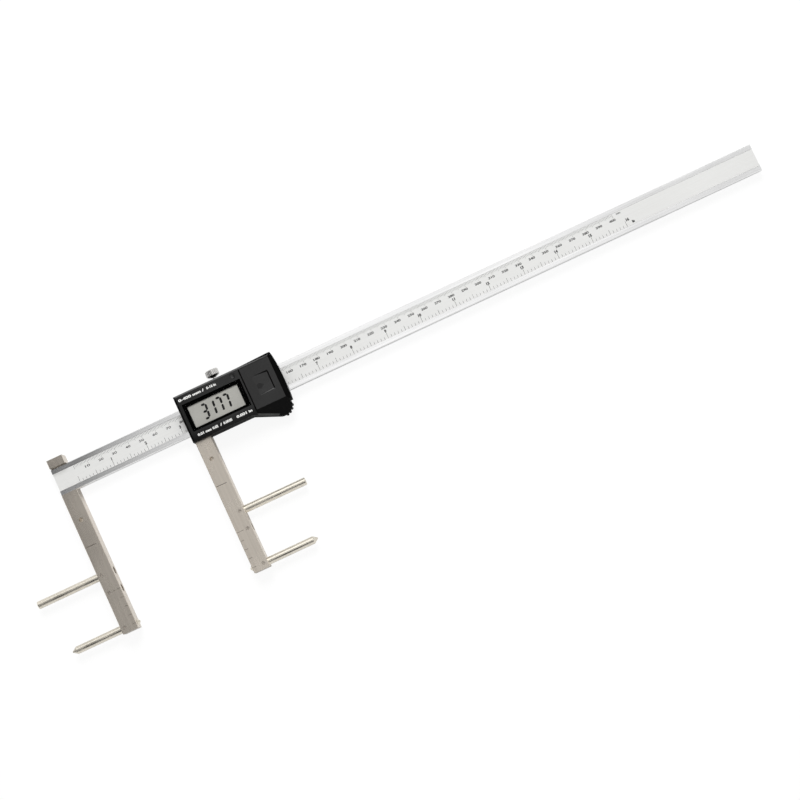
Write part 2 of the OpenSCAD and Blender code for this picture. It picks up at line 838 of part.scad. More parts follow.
contact_w = 4;
contact_inset = 2;
contact_gap = 0.1;
contact_touch = 0.05;
contact_drop = 0.6;
contact_x = cell_x - cell_d / 2 + contact_inset;

// Slots through the tray's floor for the two contacts
module contact_slots() {
  g = contact_gap;
  block([contact_x - g, cell_y - contact_w / 2 - g, cell_z - contact_t],
        [cell_x + contact_w / 2, cell_y + contact_w / 2 + g, cell_z + eps]);
  block([contact_x - g, cell_y - contact_w / 2 - g, 0],
        [contact_x + contact_t + g, cell_y + contact_w / 2 + g, cell_z]);
  block([cell_x - contact_w / 2 - g, side_contact_y - contact_t - g, 0],
        [cell_x + contact_w / 2 + g, side_contact_y + 1, cover_z]);
}

side_contact_y = cell_y - cell_d / 2 - contact_touch;

module battery_contacts() {
  w = contact_w / 2;
  cap_z = cell_z - contact_t;
  color("gold")
  at_slider() {
    block([contact_x, cell_y - w, cap_z], [cell_x + w - contact_gap, cell_y + w, cell_z]);
    block([contact_x, cell_y - w, board_face], [contact_x + contact_t, cell_y + w, cap_z + eps]);
    block([cell_x - w, side_contact_y - contact_t, board_face],
          [cell_x + w, side_contact_y, cover_z - contact_drop]);
  }
}

// The cell's can stands over a smaller cap at its foot
cell_cap_h = 0.5;
cell_cap_inset = 0.6;

module battery_cell() {
  color("silver")
  at_slider()
  translate([cell_x, cell_y, cell_z]) {
    cylinder(d = cell_d - 2 * cell_cap_inset, h = cell_t);
    translate([0, 0, cell_cap_h]) cylinder(d = cell_d, h = cell_t - cell_cap_h);
  }
}

// The thumb recess: its floor slopes down to the deep end, and its other walls slope at 45 degrees
module thumb_recess() {
  d = recess_depth;
  half = recess_h / 2;
  over = 0.5;
  ramp = (recess_len - d) / d;
  translate([cover_end - recess_inset, cell_y, slider_front]) intersection() {
    rotate([90, 0, 0]) linear_extrude(far, center = true)
      polygon([[-recess_len - over * ramp, over], [-d, -d], [over, over]]);
    rotate([90, 0, 90]) linear_extrude(far, center = true)
      polygon([[-half - over, over], [d - half, -d], [half - d, -d], [half + over, over]]);
  }
}

module battery_cover() {
  color([0.24, 0.24, 0.25])
  at_slider()
  difference() {
    union() {
      block([cover_x, cover_low, cover_z], [cover_end, cover_top, slider_front]);
      block([cover_x, cover_low - tongue_out, cover_z],
            [cover_end, cover_top + tongue_out, cover_z + tongue_t]);
    }
    thumb_recess();
  }
}

// Button

button_drop = 0.2;
button_top = slider_front - button_drop;
button_flange = 0.5;
button_flange_t = 0.9;
button_foot_d = 2;
switch_h = 1.4;
switch_gap = 0.05;
switch_low = [-2, -1.8, 0];
switch_high = [2, 1.8, 1];
flange_gap = 0.1;
flange_z = ceiling_z - flange_gap;

module zero_button() {
  foot = board_face + switch_h + button_travel + switch_gap;
  color([0.3, 0.3, 0.3])
  translate([slider_x + button_x, button_y, 0]) {
    translate([0, 0, flange_z - button_flange_t]) {
      cylinder(d = button_d, h = button_top - flange_z + button_flange_t);
      cylinder(d = button_d + 2 * button_flange, h = button_flange_t);
    }
    translate([0, 0, foot]) cylinder(d = button_foot_d, h = flange_z - foot - button_flange_t / 2);
  }
}

module button_switch() {
  color("dimgray")
  translate([slider_x + button_x, button_y, board_face]) {
    block(switch_low, switch_high);
    cylinder(d = button_foot_d, h = switch_h);
  }
}

beam();
scale_strip();
scale_label();
fixed_jaw();
fixed_jaw_screws();
fixed_long_pin();
fixed_pointed_pin();
fixed_arm_set_screws();
sliding_jaw();
sliding_jaw_screws();
sliding_long_pin();
sliding_pointed_pin();
sliding_arm_set_screws();
slider_frame();
gib_strip();
gib_screws();
lock_screw();
display_housing();
housing_screws();
display_window();
lcd_holder();
lcd_panel();
rubber_connector();
circuit_board();
sensor_board();
board_screws();
battery_cell();
battery_contacts();
battery_cover();
zero_button();
button_switch();
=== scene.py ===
import json
import math

import bmesh
import bpy
from mathutils import Matrix, Vector


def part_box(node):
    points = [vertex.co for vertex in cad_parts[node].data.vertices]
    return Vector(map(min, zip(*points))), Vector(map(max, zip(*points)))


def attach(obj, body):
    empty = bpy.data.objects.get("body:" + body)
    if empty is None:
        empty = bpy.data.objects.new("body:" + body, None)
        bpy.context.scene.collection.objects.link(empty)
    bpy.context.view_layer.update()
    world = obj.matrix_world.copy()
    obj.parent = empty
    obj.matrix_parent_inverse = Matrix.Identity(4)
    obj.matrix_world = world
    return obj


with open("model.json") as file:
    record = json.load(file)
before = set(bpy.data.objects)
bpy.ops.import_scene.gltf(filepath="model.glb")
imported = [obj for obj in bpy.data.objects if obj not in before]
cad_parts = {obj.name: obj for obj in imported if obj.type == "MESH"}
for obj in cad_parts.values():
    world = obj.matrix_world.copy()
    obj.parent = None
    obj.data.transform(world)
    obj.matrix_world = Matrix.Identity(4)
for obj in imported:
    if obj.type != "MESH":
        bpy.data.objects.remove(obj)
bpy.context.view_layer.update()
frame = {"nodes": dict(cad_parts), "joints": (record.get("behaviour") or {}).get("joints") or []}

# Lengths are in metres. X runs along the beam, Y across it and Z up towards the viewer.
MM = 0.001
INCH = 25.4 * MM

# Camera: its place, its tilt about X and Y, its turn about its own axis, and its lens on a 36 mm sensor
CAMERA_PLACE = (215 * MM, -174.7 * MM, 1256 * MM)
CAMERA_TILT_X = math.radians(5.83)
CAMERA_TILT_Y = math.radians(-0.545)
CAMERA_TURN = math.radians(-25.02)
CAMERA_LENS = 84.13
CAMERA_SENSOR = 36

# Thickness of the ink and of the arms' dark marks
INK = 0.01 * MM

BEAM_BODY = "beam_body"
SLIDER_BODY = "slider_body"
COVER_BODY = "battery_cover_body"
BUTTON_BODY = "zero_button_body"

# Places worked out from the frame
label_low, label_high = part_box("scale_label")
housing_low, housing_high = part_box("display_housing")
_, lcd_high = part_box("lcd_panel")
window_low, window_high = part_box("display_window")
_, cover_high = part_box("battery_cover")
fixed_low, fixed_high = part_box("fixed_jaw")
sliding_low, sliding_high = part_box("sliding_jaw")
button_low, button_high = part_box("zero_button")
slide = next(j for j in frame["joints"] if j["name"] == "slider_slide")
scale_zero = housing_low.x + slide["range_m"][0]
display_y = (window_low.y + window_high.y) / 2


# Shaders

# Most of a noise's values lie between these
NOISE_START = 0.35
NOISE_END = 0.65
# A surface whose normal has at least this cosine to the vertical counts as facing straight up
UPWARD_COSINE = 0.99


class Nodes:
    """A node tree, with short ways to add to it."""

    def __init__(self, tree):
        self.tree = tree

    def add(self, kind, **values):
        node = self.tree.nodes.new("ShaderNode" + kind)
        for name, value in values.items():
            node.inputs[name.replace("_", " ")].default_value = value
        return node

    def link(self, output, target):
        self.tree.links.new(output, target)

    def ranged(self, factor, low, high, start=NOISE_START, end=NOISE_END, smooth=False):
        """A number from low to high as the factor goes from start to end."""
        node = self.add("MapRange", From_Min=start, From_Max=end, To_Min=low, To_Max=high)
        if smooth:
            node.interpolation_type = "SMOOTHSTEP"
        self.link(factor, node.inputs["Value"])
        return node.outputs["Result"]

    def maths(self, operation, a, b):
        """The result of an operation on two sockets or numbers."""
        node = self.add("Math")
        node.operation = operation
        for socket, value in zip(node.inputs, (a, b)):
            if isinstance(value, (int, float)):
                socket.default_value = value
            else:
                self.link(value, socket)
        return node.outputs["Value"]

    def cosine(self, vector, direction):
        """The cosine of the angle between a unit vector's socket and a fixed direction."""
        node = self.add("VectorMath")
        node.operation = "DOT_PRODUCT"
        node.inputs[1].default_value = direction
        self.link(vector, node.inputs[0])
        return node.outputs["Value"]


class Shader(Nodes):
    """A material with one principled shader and the nodes that feed it."""

    def __init__(self, name, colour, roughness, metallic=0.0, specular=0.5):
        self.material = bpy.data.materials.new(name)
        self.material.use_nodes = True
        super().__init__(self.material.node_tree)
        self.surface = self.tree.nodes["Principled BSDF"]
        self.colour = colour
        self.roughness = roughness
        self.surface.inputs["Base Color"].default_value = (*colour, 1)
        self.surface.inputs["Roughness"].default_value = roughness
        self.surface.inputs["Metallic"].default_value = metallic
        self.surface.inputs["Specular IOR Level"].default_value = specular
        self.normal = None

    def noise(self, scale, stretch=(1, 1, 1), detail=2.0):
        """Noise in the piece's own frame, packed closer along the axes with a larger stretch."""
        place = self.add("TexCoord")
        mapping = self.add("Mapping", Scale=stretch)
        noise = self.add("TexNoise", Scale=scale, Detail=detail)
        self.link(place.outputs["Object"], mapping.inputs["Vector"])
        self.link(mapping.outputs["Vector"], noise.inputs["Vector"])
        return noise.outputs["Fac"]

    def shade(self, factor, spread):
        """Lets the base colour vary with a factor, by a share of itself either way."""
        level = self.ranged(factor, 1 - spread, 1 + spread)
        scaled = self.add("VectorMath")
        scaled.operation = "SCALE"
        base = self.surface.inputs["Base Color"]
        if base.is_linked:
            self.link(base.links[0].from_socket, scaled.inputs[0])
        else:
            scaled.inputs[0].default_value = self.colour
        self.link(level, scaled.inputs["Scale"])
        self.link(scaled.outputs["Vector"], base)

    def polish(self, factor, spread):
        """Lets the roughness vary with a factor, by a share of itself either way."""
        low, high = self.roughness * (1 - spread), self.roughness * (1 + spread)
        self.link(self.ranged(factor, low, high), self.surface.inputs["Roughness"])

    def bump(self, factor, height):
        """Raises the surface by up to a height where the factor is 1."""
        node = self.add("Bump", Distance=height)
        self.link(factor, node.inputs["Height"])
        if self.normal is not None:
            self.link(self.normal, node.inputs["Normal"])
        self.normal = node.outputs["Normal"]
        self.link(self.normal, self.surface.inputs["Normal"])

    def facing(self, direction, stops):
        """A number that follows the cosine between the surface and a direction, from its stops."""
        geometry = self.add("NewGeometry")
        cosine = self.cosine(geometry.outputs["True Normal"], direction)
        ramp = self.add("ValToRGB")
        self.link(self.ranged(cosine, 0, 1, -1, 1), ramp.inputs["Fac"])
        elements = ramp.color_ramp.elements
        for place, value in stops[1:-1]:
            elements.new((place + 1) / 2).color = (value, value, value, 1)
        for element, (place, value) in ((elements[0], stops[0]), (elements[-1], stops[-1])):
            element.position = (place + 1) / 2
            element.color = (value, value, value, 1)
        return ramp.outputs["Color"]

    def upward(self):
        """1 where the surface faces straight up, and 0 elsewhere."""
        normal = self.add("NewGeometry").outputs["True Normal"]
        return self.maths("GREATER_THAN", self.cosine(normal, (0, 0, 1)), UPWARD_COSINE)

    def place(self, axis):
        """The surface's place along an axis of the piece's own frame."""
        parts = self.add("SeparateXYZ")
        self.link(self.add("TexCoord").outputs["Object"], parts.inputs["Vector"])
        return parts.outputs[axis]


def ground_metal(name, colour, roughness, grain, streak=0.07):
    """Ground or brushed metal. grain is the stretch of its noise, small along the lines."""
    shader = Shader(name, colour, roughness, metallic=1.0)
    lines = shader.noise(scale=900, stretch=grain, detail=3)
    clouds = shader.noise(scale=25, detail=3)
    shader.shade(lines, spread=streak)
    shader.shade(clouds, spread=0.04)
    shader.polish(clouds, spread=0.2)
    shader.bump(lines, height=0.004 * MM)
    return shader.material


def turned_metal(name, colour, roughness):
    """Bright metal turned about the X axis, with fine rings and a few handling marks."""
    shader = Shader(name, colour, roughness, metallic=1.0)
    rings = shader.noise(scale=1500, stretch=(1, 0.03, 0.03), detail=2)
    marks = shader.noise(scale=90, stretch=(0.6, 1, 1), detail=4)
    shader.shade(rings, spread=0.05)
    shader.shade(marks, spread=0.06)
    shader.polish(marks, spread=0.35)
    shader.bump(rings, height=0.003 * MM)
    return shader.material


def plated_metal(name, colour, roughness):
    """Plated metal with slight clouding."""
    shader = Shader(name, colour, roughness, metallic=1.0)
    clouds = shader.noise(scale=400, detail=3)
    shader.shade(clouds, spread=0.05)
    shader.polish(clouds, spread=0.3)
    return shader.material


def moulded_plastic(name, colour, roughness, specular):
    """Spark-textured moulded plastic, with faint flow clouds and rubbed spots."""
    shader = Shader(name, colour, roughness, specular=specular)
    grain = shader.noise(scale=4500, detail=2)
    clouds = shader.noise(scale=60, detail=3)
    shader.shade(clouds, spread=0.1)
    shader.polish(clouds, spread=0.15)
    shader.bump(grain, height=0.02 * MM)
    return shader


# Upwards and a little towards the lock screw: the way that the housing's upper edges face
EDGE_WAY = Vector((0, 0.6, 0.8))
# The battery bay's floor, seen in the cover's groove and past its end, lies below this height
BAY_FLOOR_TOP = 17.1 * MM
# Shares of the front's gloss that the walls, the slopes towards the ends and the bay's floor keep.
# Cutting their gloss paints shade on them.
WALL_SHADE_SHARE = 0.02
SLOPE_SHADE_SHARE = 0.1
BAY_SHADE_SHARE = 0.05
# Between these places along Y the front loses gloss towards the housing's lower edge, and between these
# along X it keeps only a share of its gloss towards the left end. Both are painted shade.
FRONT_UNSHADED_Y = -9.5 * MM
FRONT_SHADED_Y = -14.5 * MM
FRONT_LEFT_X = housing_low.x + 1 * MM
FRONT_RIGHT_X = housing_low.x + 28 * MM
FRONT_LEFT_SHADE_SHARE = 0.6


def housing_plastic(name, colour, roughness, specular, edge, facet, fade):
    """Moulded plastic, glossier where it faces up, with painted highlights and shade in its gloss. Extra
    gloss on its upper edges and on the thumb rest's steep facet paints highlights, and little gloss on
    its walls, the slopes towards its ends, the floor of the battery bay and the front's lower edge and
    left end paints shade.
    specular, edge and facet are the gloss of the front, of the upper edges and of the facet, and
    fade is the share of its gloss that the front loses towards the lower edge, as painted shade."""
    shader = moulded_plastic(name, colour, roughness, specular)
    wall, slope = WALL_SHADE_SHARE * specular, SLOPE_SHADE_SHARE * specular
    # Levels by the cosine to EDGE_WAY: facet near -0.18, end slopes near 0.2, front 0.8, edges over 0.95.
    # The high levels on the facet and edges paint highlights, and the low ones on walls and slopes paint
    # shade.
    stops = [(-1, wall), (-0.3, wall), (-0.18, facet), (-0.08, wall), (0.05, wall), (0.12, slope),
             (0.25, slope), (0.4, wall), (0.65, wall), (0.76, specular), (0.85, specular), (0.95, edge),
             (1, edge)]
    gloss = shader.facing(EDGE_WAY, [(cosine, level / edge) for cosine, level in stops])
    # Painted shade: the front's gloss falls towards its lower edge and its left end, and the bay's floor
    # keeps little gloss
    high = shader.ranged(shader.place("Y"), 1 - fade, 1, FRONT_SHADED_Y, FRONT_UNSHADED_Y)
    right = shader.ranged(shader.place("X"), FRONT_LEFT_SHADE_SHARE, 1, FRONT_LEFT_X, FRONT_RIGHT_X)
    above = shader.maths("GREATER_THAN", shader.place("Z"), BAY_FLOOR_TOP)
    raised = shader.ranged(above, BAY_SHADE_SHARE, 1, 0, 1)
    unshaded = shader.maths("MULTIPLY", shader.maths("MULTIPLY", high, right), raised)
    painted_shade = shader.maths("MULTIPLY", shader.maths("SUBTRACT", 1, unshaded), shader.upward())
    level = shader.ranged(painted_shade, edge, 0, 0, 1)
    shader.link(shader.maths("MULTIPLY", gloss, level), shader.surface.inputs["Specular IOR Level"])
    return shader.material


def smooth_plastic(name, colour, roughness, specular):
    """Smooth black plastic, a little hazed."""
    shader = Shader(name, colour, roughness, specular=specular)
    haze = shader.noise(scale=150, detail=2)
    shader.shade(haze, spread=0.1)
    shader.polish(haze, spread=0.1)
    return shader.material


def printed_label(name, colour):
    """Satin printed foil with faint brushing along the beam."""
    shader = Shader(name, colour, 0.42, specular=0.4)
    lines = shader.noise(scale=1200, stretch=(0.02, 1, 1), detail=2)
    clouds = shader.noise(scale=12, detail=2)
    shader.shade(lines, spread=0.015)
    shader.shade(clouds, spread=0.02)
    shader.polish(clouds, spread=0.2)
    return shader.material


def ink(name, colour):
    """Printed ink, a little thin in places."""
    shader = Shader(name, colour, 0.5, specular=0.3)
    specks = shader.noise(scale=3000, detail=2)
    shader.shade(specks, spread=0.2)
    return shader.material


def display_glass(name, colour):
    """The reflective display behind the window, with a faint grey cloudiness."""
    shader = Shader(name, colour, 0.55, specular=0.2)
    clouds = shader.noise(scale=70, detail=3)
    grain = shader.noise(scale=2500, detail=1)
    shader.shade(clouds, spread=0.035)
    shader.shade(grain, spread=0.02)
    return shader.material


def clear_window(name):
    """Clear acrylic: mostly see-through, with a low gloss."""
    shader = Shader(name, (0.02, 0.02, 0.02), 0.1, specular=0.2)
    smears = shader.noise(scale=120, detail=3)
    shader.polish(smears, spread=0.3)
    shader.surface.inputs["Alpha"].default_value = 0.05
    return shader.material


def soft_rubber(name, colour):
    """The connector's rubber, with its thin conducting layers as stripes."""
    shader = Shader(name, colour, 0.7)
    stripes = shader.noise(scale=3000, stretch=(1, 0.02, 0.02), detail=1)
    shader.shade(stripes, spread=0.4)
    return shader.material


def circuit(name, colour):
    """Solder mask with the tracks showing faintly through it."""
    shader = Shader(name, colour, 0.35, specular=0.5)
    tracks = shader.noise(scale=700, stretch=(1, 0.1, 1), detail=1)
    shader.shade(tracks, spread=0.25)
    shader.bump(tracks, height=0.02 * MM)
    return shader.material


def finish_nodes(material, *names):
    """Puts one material in every slot of the named CAD nodes."""
    for name in names:
        for slot in frame["nodes"][name].material_slots:
            slot.material = material


def button_plastic(name):
    """The plastic of the button and of the dish on it."""
    return smooth_plastic(name, (0.012, 0.012, 0.012), 0.25, 0.6)


def finish_frame():
    along_x, along_y = (0.01, 1, 1), (1, 0.01, 1)
    finish_nodes(ground_metal("beam_steel", (0.90, 0.90, 0.90), 0.16, along_x), "beam")
    finish_nodes(printed_label("scale_face", (0.895, 0.895, 0.88)), "scale_label")
    finish_nodes(ground_metal("arm_steel", (0.70, 0.638, 0.56), 0.25, along_y, streak=0.04), "fixed_jaw",
                 "sliding_jaw")
    finish_nodes(turned_metal("pin_steel", (0.83, 0.78, 0.68), 0.31), "fixed_long_pin",
                 "fixed_pointed_pin", "sliding_long_pin", "sliding_pointed_pin")
    finish_nodes(ground_metal("frame_steel", (0.62, 0.62, 0.61), 0.3, along_x), "slider_frame")
    finish_nodes(plated_metal("screw_steel", (0.62, 0.565, 0.5), 0.35), "fixed_arm_set_screws",
                 "sliding_arm_set_screws", "fixed_jaw_screws", "sliding_jaw_screws", "gib_screws",
                 "housing_screws", "board_screws")
    finish_nodes(plated_metal("knob_chrome", (0.74, 0.73, 0.71), 0.3), "lock_screw")
    finish_nodes(plated_metal("gib_brass", (0.66, 0.45, 0.20), 0.35), "gib_strip")
    finish_nodes(plated_metal("contact_brass", (0.78, 0.62, 0.32), 0.25), "battery_contacts")
    finish_nodes(plated_metal("cell_steel", (0.7, 0.7, 0.7), 0.25), "battery_cell")
    finish_nodes(housing_plastic("housing_black", (0.0035, 0.0035, 0.0035), 0.42, 0.62, 1.7, 0.8, 0.64),
                 "display_housing")
    finish_nodes(housing_plastic("cover_grey", (0.004, 0.0038, 0.0038), 0.5, 0.68, 3.5, 0.8, 0),
                 "battery_cover")
    finish_nodes(smooth_plastic("mask_black", (0.0012, 0.0012, 0.0012), 0.5, 0.0), "lcd_holder",
                 "button_switch")
    finish_nodes(button_plastic("button_grey"), "zero_button")
    finish_nodes(clear_window("window_clear"), "display_window")
    finish_nodes(display_glass("lcd_grey", (0.565, 0.558, 0.518)), "lcd_panel")
    finish_nodes(soft_rubber("connector_rubber", (0.5, 0.3, 0.3)), "rubber_connector")
    finish_nodes(circuit("circuit_green", (0.02, 0.12, 0.05)), "circuit_board", "sensor_board",
                 "scale_strip")


# Thin pieces that lie on the solids


def add_prism(bm, outline, low, high):
    """Adds a closed solid over an outline of points, given anticlockwise from above.
    low and high are heights, or functions that give them from a point."""
    def level(height, point):
        return height(point) if callable(height) else height

    bottom = [bm.verts.new((*p, level(low, p))) for p in outline]
    top = [bm.verts.new((*p, level(high, p))) for p in outline]
    bm.faces.new(top)
    bm.faces.new(bottom[::-1])
    count = len(outline)
    for i in range(count):
        j = (i + 1) % count
        bm.faces.new((bottom[i], bottom[j], top[j], top[i]))


def rectangle(x0, y0, x1, y1):
    return [(x0, y0), (x1, y0), (x1, y1), (x0, y1)]


GLYPH_STEPS = 4
# Height of a numeral in a text of size one
GLYPH_NUMERAL_H = 0.69


def glyphs(text, bold):
    """The mesh of a text of size one and one unit thick, in the built-in typeface."""
    curve = bpy.data.curves.new("glyphs", "FONT")
    curve.body = text
    curve.resolution_u = GLYPH_STEPS
    curve.offset = bold
    curve.extrude = 0.5
    holder = bpy.data.objects.new("glyphs", curve)
    bpy.context.scene.collection.objects.link(holder)
    bpy.context.view_layer.update()
    mesh = bpy.data.meshes.new_from_object(holder.evaluated_get(bpy.context.evaluated_depsgraph_get()))
    bpy.data.objects.remove(holder)
    bpy.data.curves.remove(curve)
    return mesh


def add_text(bm, text, x, y, height, z, width=None, align=0.5, bold=0.0):
    """Adds a flat text whose numerals are height tall, centred on y.
    x is its left end, middle or right end for an align of 0, 0.5 or 1, and width stretches it."""
    mesh = glyphs(text, bold)
    xs = [v.co.x for v in mesh.vertices]
    left, right = min(xs), max(xs)
    tall = height / GLYPH_NUMERAL_H
    wide = width / (right - left) if width else tall
    shift = Vector((x - wide * (left + align * (right - left)), y - height / 2, z + INK / 2))
    matrix = Matrix.Translation(shift) @ Matrix.Diagonal((wide, tall, INK, 1))
    mesh.transform(matrix)
    bm.from_mesh(mesh)
    bpy.data.meshes.remove(mesh)


def new_piece(name, bm, material, body):
    """Turns a bmesh into a piece that rides on a body."""
    mesh = bpy.data.meshes.new(name)
    bm.to_mesh(mesh)
    bm.free()
    mesh.materials.append(material)
    piece = bpy.data.objects.new(name, mesh)
    bpy.context.scene.collection.objects.link(piece)
    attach(piece, body)


# The printed scale: millimetres hang from the label's upper edge, inches stand on its lower edge

SCALE_MM = 400
SCALE_IN = 16
MM_TICK_W = 0.16 * MM
INCH_TICK_W = 0.2 * MM
TICK_EDGE = 0.1 * MM
# Tick lengths of a ten, of a half ten and of a single division
MM_TICKS = (2.8 * MM, 2.4 * MM, 1.7 * MM)
INCH_TICKS = (4.2 * MM, 3.2 * MM, 1.8 * MM)
MM_NUMBER_H = 1.45 * MM
INCH_NUMBER_H = 1.75 * MM
MM_NUMBER_Y = 1.88 * MM
INCH_NUMBER_Y = -0.85 * MM
MM_NUMBER_SHIFT = -1.2 * MM
# Widths and added line weights of millimetre numbers with two and three numerals
MM_NUMBER_W = {2: 3.5 * MM, 3: 4.6 * MM}
MM_BOLD = {2: 0.02, 3: 0.035}
INCH_BOLD = 0.06
# Places of the units, and of the last inch number, past the scale's ends
MM_UNIT_X = (SCALE_MM + 3) * MM
MM_UNIT_DROP = 1.0 * MM
INCH_UNIT_X = 4.3 * MM
INCH_UNIT_RISE = 2 * MM
LAST_INCH_X = 2 * MM
LAST_INCH_DROP = 0.7 * MM


def add_tick(bm, x, y0, y1, width):
    z = label_high.z
    add_prism(bm, rectangle(x - width / 2, min(y0, y1), x + width / 2, max(y0, y1)), z, z + INK)


def tick_length(i, lengths):
    ten, half, single = lengths
    return ten if i % 10 == 0 else half if i % 5 == 0 else single


def millimetre_scale(bm):
    edge, z = label_high.y - TICK_EDGE, label_high.z
    for i in range(SCALE_MM + 1):
        add_tick(bm, scale_zero + i * MM, edge, edge - tick_length(i, MM_TICKS), MM_TICK_W)
    for i in range(10, SCALE_MM + 1, 10):
        numerals = len(str(i))
        add_text(bm, str(i), scale_zero + i * MM + MM_NUMBER_SHIFT, MM_NUMBER_Y, MM_NUMBER_H, z,
                 width=MM_NUMBER_W[numerals], bold=MM_BOLD[numerals])
    add_text(bm, "mm", scale_zero + MM_UNIT_X, edge - MM_UNIT_DROP, MM_NUMBER_H, z, align=0,
             bold=MM_BOLD[2])


def inch_scale(bm):
    edge, z = label_low.y + TICK_EDGE, label_high.z
    for i in range(SCALE_IN * 10 + 1):
        add_tick(bm, scale_zero + i * INCH / 10, edge, edge + tick_length(i, INCH_TICKS), INCH_TICK_W)
    for i in range(1, SCALE_IN):
        add_text(bm, str(i), scale_zero + i * INCH, INCH_NUMBER_Y, INCH_NUMBER_H, z, bold=INCH_BOLD)
    last = scale_zero + SCALE_IN * INCH
    add_text(bm, str(SCALE_IN), last + LAST_INCH_X, INCH_NUMBER_Y - LAST_INCH_DROP, INCH_NUMBER_H, z,
             bold=INCH_BOLD)
    add_text(bm, "in", last + INCH_UNIT_X, edge + INCH_UNIT_RISE, INCH_NUMBER_H, z, align=0,
             bold=INCH_BOLD)


def printed_scale():
    bm = bmesh.new()
    millimetre_scale(bm)
    inch_scale(bm)
    new_piece("scale_print", bm, ink("scale_ink", (0.045, 0.045, 0.045)), BEAM_BODY)


# The display's numerals, each from some of seven strokes. A stroke's ends are in widths and half heights.

STROKES = {
    "a": ((0, 1), (1, 1)), "b": ((1, 1), (1, 0)), "c": ((1, 0), (1, -1)), "d": ((1, -1), (0, -1)),
    "e": ((0, -1), (0, 0)), "f": ((0, 0), (0, 1)), "g": ((0, 0), (1, 0)),
}
NUMERALS = {"3": "abgcd", "1": "bc", "7": "abc"}
READOUT = "3177"
NUMERAL_W = 3.3 * MM
NUMERAL_H = 9.6 * MM
NUMERAL_PITCH = 5.32 * MM
FIRST_NUMERAL_X = sliding_low.x + 13.55 * MM
NUMERALS_Y = 0.25 * MM
NUMERAL_SLANT = math.tan(math.radians(4.4))
STROKE_W = 1.55 * MM
STROKE_GAP = 0.14 * MM


def stroke_outline(start, end):
    """A bar with pointed ends from start to end."""
    along = (end - start).normalized()
    side = Vector((-along.y, along.x)) * STROKE_W / 2
    start, end = start + along * STROKE_GAP, end - along * STROKE_GAP
    tip = along * STROKE_W / 2
    return [start, start + tip - side, end - tip - side, end, end - tip + side, start + tip + side]


def display_numerals():
    bm = bmesh.new()
    z = lcd_high.z
    for i, numeral in enumerate(READOUT):
        for stroke in NUMERALS[numeral]:
            ends = [Vector((u * NUMERAL_W, v * NUMERAL_H / 2)) for u, v in STROKES[stroke]]
            outline = [(FIRST_NUMERAL_X + i * NUMERAL_PITCH + p.x + p.y * NUMERAL_SLANT, NUMERALS_Y + p.y)
                       for p in stroke_outline(*ends)]
            add_prism(bm, outline, z, z + INK)
    new_piece("display_numerals", bm, ink("lcd_ink", (0.005, 0.005, 0.005)), SLIDER_BODY)


# Print on the housing: the gauge's range and steps, each with its left end and width in millimetres

PRINT_H = 1.55 * MM
PRINT_BOLD = 0.055
UPPER_ROW_Y = 13.8 * MM
LOWER_ROW_Y = -12.4 * MM
UPPER_ROW = [("0-400 mm", 1.7, 16.4), ("/", 19.0, 1.5), ("0-16 in", 22.3, 6.9)]
LOWER_ROW = [("0.01 mm", 4.3, 9.9), ("0.02", 15.1, 4.1), ("/", 20.6, 1.5), ("0.0005", 23.1, 6.4),
             ("0.001 in", 32.8, 11.4)]


def housing_print():
    """The two rows of print, sunk into the housing by half their height."""
    bm = bmesh.new()
    z = housing_high.z - INK / 2
    for row, y in ((UPPER_ROW, UPPER_ROW_Y), (LOWER_ROW, LOWER_ROW_Y)):
        for text, left, width in row:
            add_text(bm, text, sliding_low.x + left * MM, y, PRINT_H, z, width * MM, align=0,
                     bold=PRINT_BOLD)
    new_piece("housing_print", bm, ink("white_ink", (0.95, 0.95, 0.93)), SLIDER_BODY)


# A thin disc on the button's flat top, hollowed as a dish for the finger

DISH_RADIUS = 1.45 * MM
DISH_RIM = 0.18 * MM
DISH_FLOOR = 0.02 * MM
DISH_RINGS = 8
DISH_SIDES = 48
# Points closer than this become one, which closes the dish on its axis
DISH_MERGE = 0.001 * MM


def button_dish():
    """The dish, turned about the button's axis from a parabola between the rim and the floor."""
    shares = [i / DISH_RINGS for i in range(DISH_RINGS, -1, -1)]
    rise = DISH_RIM - DISH_FLOOR
    hollow = [(DISH_RADIUS * share, DISH_FLOOR + rise * share ** 2) for share in shares]
    profile = [(0, 0), (DISH_RADIUS, 0)] + hollow
    middle = (button_low + button_high) / 2
    bm = bmesh.new()
    verts = [bm.verts.new((middle.x + x, middle.y, button_high.z + z)) for x, z in profile]
    edges = [bm.edges.new(pair) for pair in zip(verts, verts[1:])]
    bmesh.ops.spin(bm, geom=verts + edges, cent=middle, axis=(0, 0, 1), angle=2 * math.pi,
                   steps=DISH_SIDES, use_merge=True)
    bmesh.ops.remove_doubles(bm, verts=bm.verts, dist=DISH_MERGE)
    bmesh.ops.recalc_face_normals(bm, faces=bm.faces)
    new_piece("button_dish", bm, button_plastic("dish_grey"), BUTTON_BODY)


# The arrow on the battery cover lies in the sloping recess

RECESS_INSET = 3.9 * MM
RECESS_LEN = 11.2 * MM
RECESS_DEPTH = 0.9 * MM
ARROW_TIP = 5.8 * MM
ARROW_LEN = 5.0 * MM
ARROW_HEAD = 3.0 * MM
ARROW_HALF = 2.0 * MM
ARROW_ROOT_SHARE = 0.7
ARROW_DROP = 0.5 * MM


